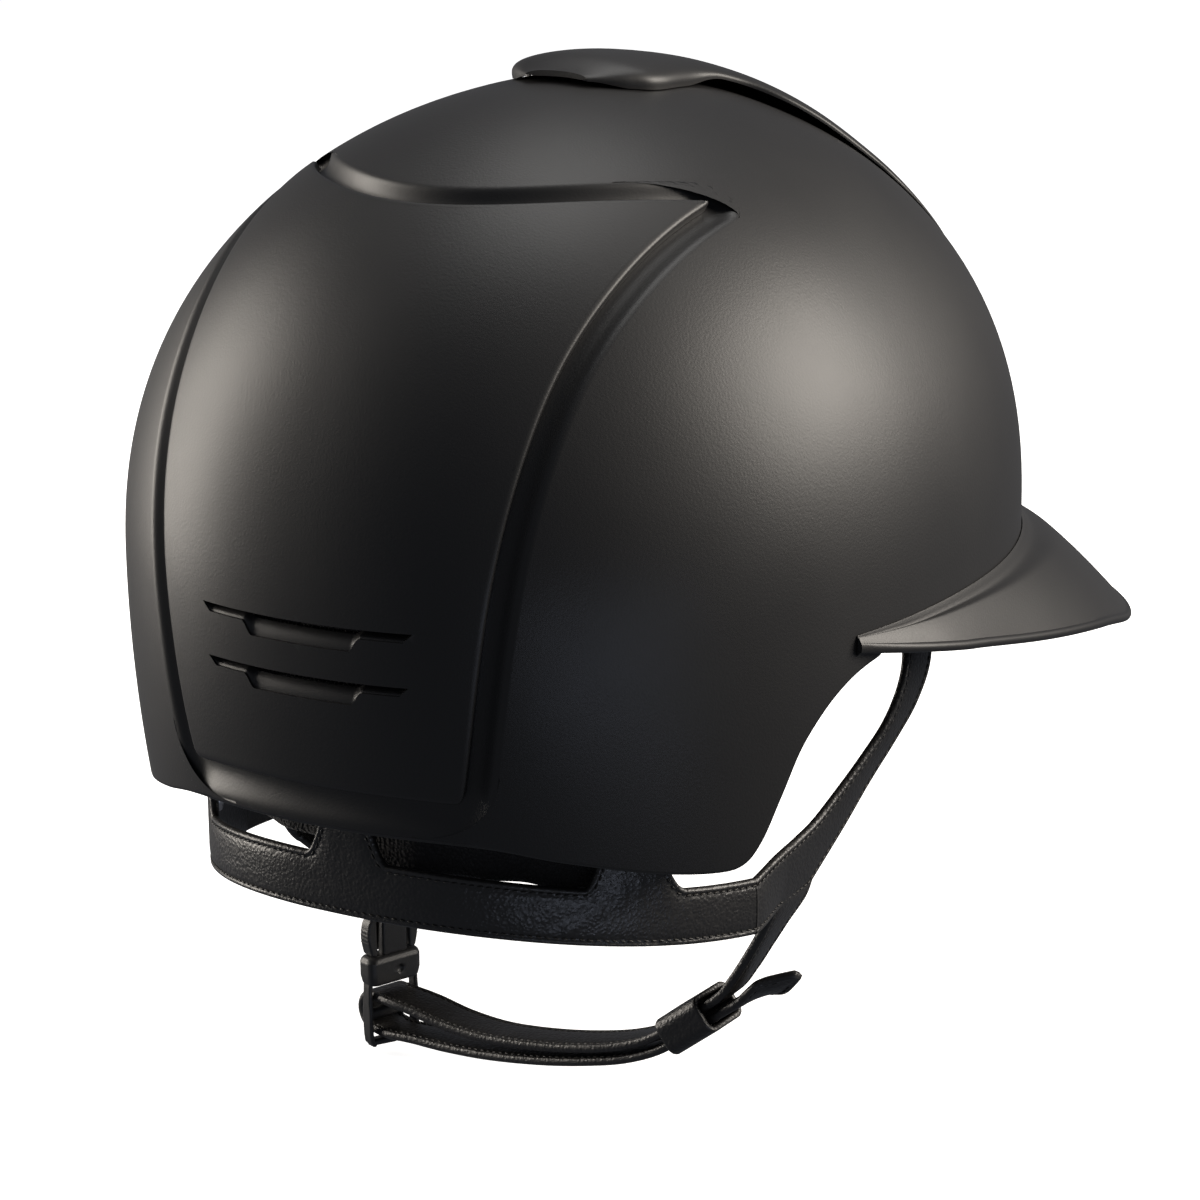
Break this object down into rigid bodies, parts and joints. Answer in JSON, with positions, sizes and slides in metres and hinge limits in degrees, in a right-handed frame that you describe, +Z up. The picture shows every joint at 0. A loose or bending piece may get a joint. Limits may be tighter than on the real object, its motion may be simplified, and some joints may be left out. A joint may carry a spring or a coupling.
{
  "type": "riding helmet",
  "caption": "Satin black riding helmet with a fixed peak, vented rear insert, raised crown scoop, foam and padded lining, and a leather harness with nape band and release buckle.",
  "frame": {"origin": "in the plane of symmetry at the level of the rim behind the ears, on the line across the widest part of the dome, where the wearer's head sits", "axes": "+Z up, -Y the way the wearer faces, +X towards the wearer's left"},
  "size_m": [0.238, 0.3163, 0.2728],
  "materials": {
    "shell_abs": "satin black moulded plastic",
    "foam": "dark expanded foam",
    "lining": "black padded textile",
    "hook_tape": "hook tape",
    "leather": "fine grained semi-gloss black leather, edge stitched",
    "nylon": "matte dark grey moulded plastic",
    "steel": "dark plated steel"
  },
  "bodies": {
    "helmet": {"outer_shell": "shell_abs", "rear_panel": "shell_abs", "front_panel": "shell_abs", "peak": "shell_abs", "rear_vent_mesh": "nylon", "front_vent_mesh": "nylon", "impact_liner": "foam", "brow_pad": "lining", "nape_pad": "lining", "side_pad_left": "lining", "side_pad_right": "lining", "crown_pad": "lining", "hook_patch_brow": "hook_tape", "hook_patch_nape": "hook_tape", "hook_patch_left": "hook_tape", "hook_patch_right": "hook_tape", "hook_patch_crown": "hook_tape", "nape_band": "leather", "yoke_strap_left": "leather", "yoke_strap_right": "leather", "peak_screw_left": "steel", "peak_screw_right": "steel", "front_rivet_left": "steel", "front_rivet_right": "steel", "side_rivet_left": "steel", "side_rivet_right": "steel", "nape_rivet": "steel"},
    "chin_strap": {"chin_strap": "leather", "chin_strap_end": "leather", "short_strap": "leather", "buckle_socket": "nylon"},
    "keeper": {"strap_keeper": "leather"},
    "plug": {"buckle_plug": "nylon", "strap_loop": "leather"},
    "prong_front": {"buckle_prong_front": "nylon"},
    "prong_rear": {"buckle_prong_rear": "nylon"}
  },
  "joints": [
    {"name": "chin_swing", "type": "hinge", "parent": "helmet", "child": "chin_strap", "pos_m": [0, 0.027, -0.027], "axis": [1, 0, 0], "range_deg": [-25, 15]},
    {"name": "keeper_slide", "type": "slide", "parent": "chin_strap", "child": "keeper", "axis": [0.797, 0, -0.604], "range_m": [-0.0045, 0.0045]},
    {"name": "buckle_release", "type": "slide", "parent": "chin_strap", "child": "plug", "axis": [0, 0, -1], "range_m": [0, 0.018]},
    {"name": "prong_front_squeeze", "type": "hinge", "parent": "plug", "child": "prong_front", "pos_m": [0.04835, 0.01508, -0.0647], "axis": [-0.9397, 0.342, 0], "range_deg": [0, 6], "stiffness_Nm_per_rad": 0.02},
    {"name": "prong_rear_squeeze", "type": "hinge", "parent": "plug", "child": "prong_rear", "pos_m": [0.05265, 0.02692, -0.0647], "axis": [-0.9397, 0.342, 0], "range_deg": [-6, 0], "stiffness_Nm_per_rad": 0.02}
  ]
}
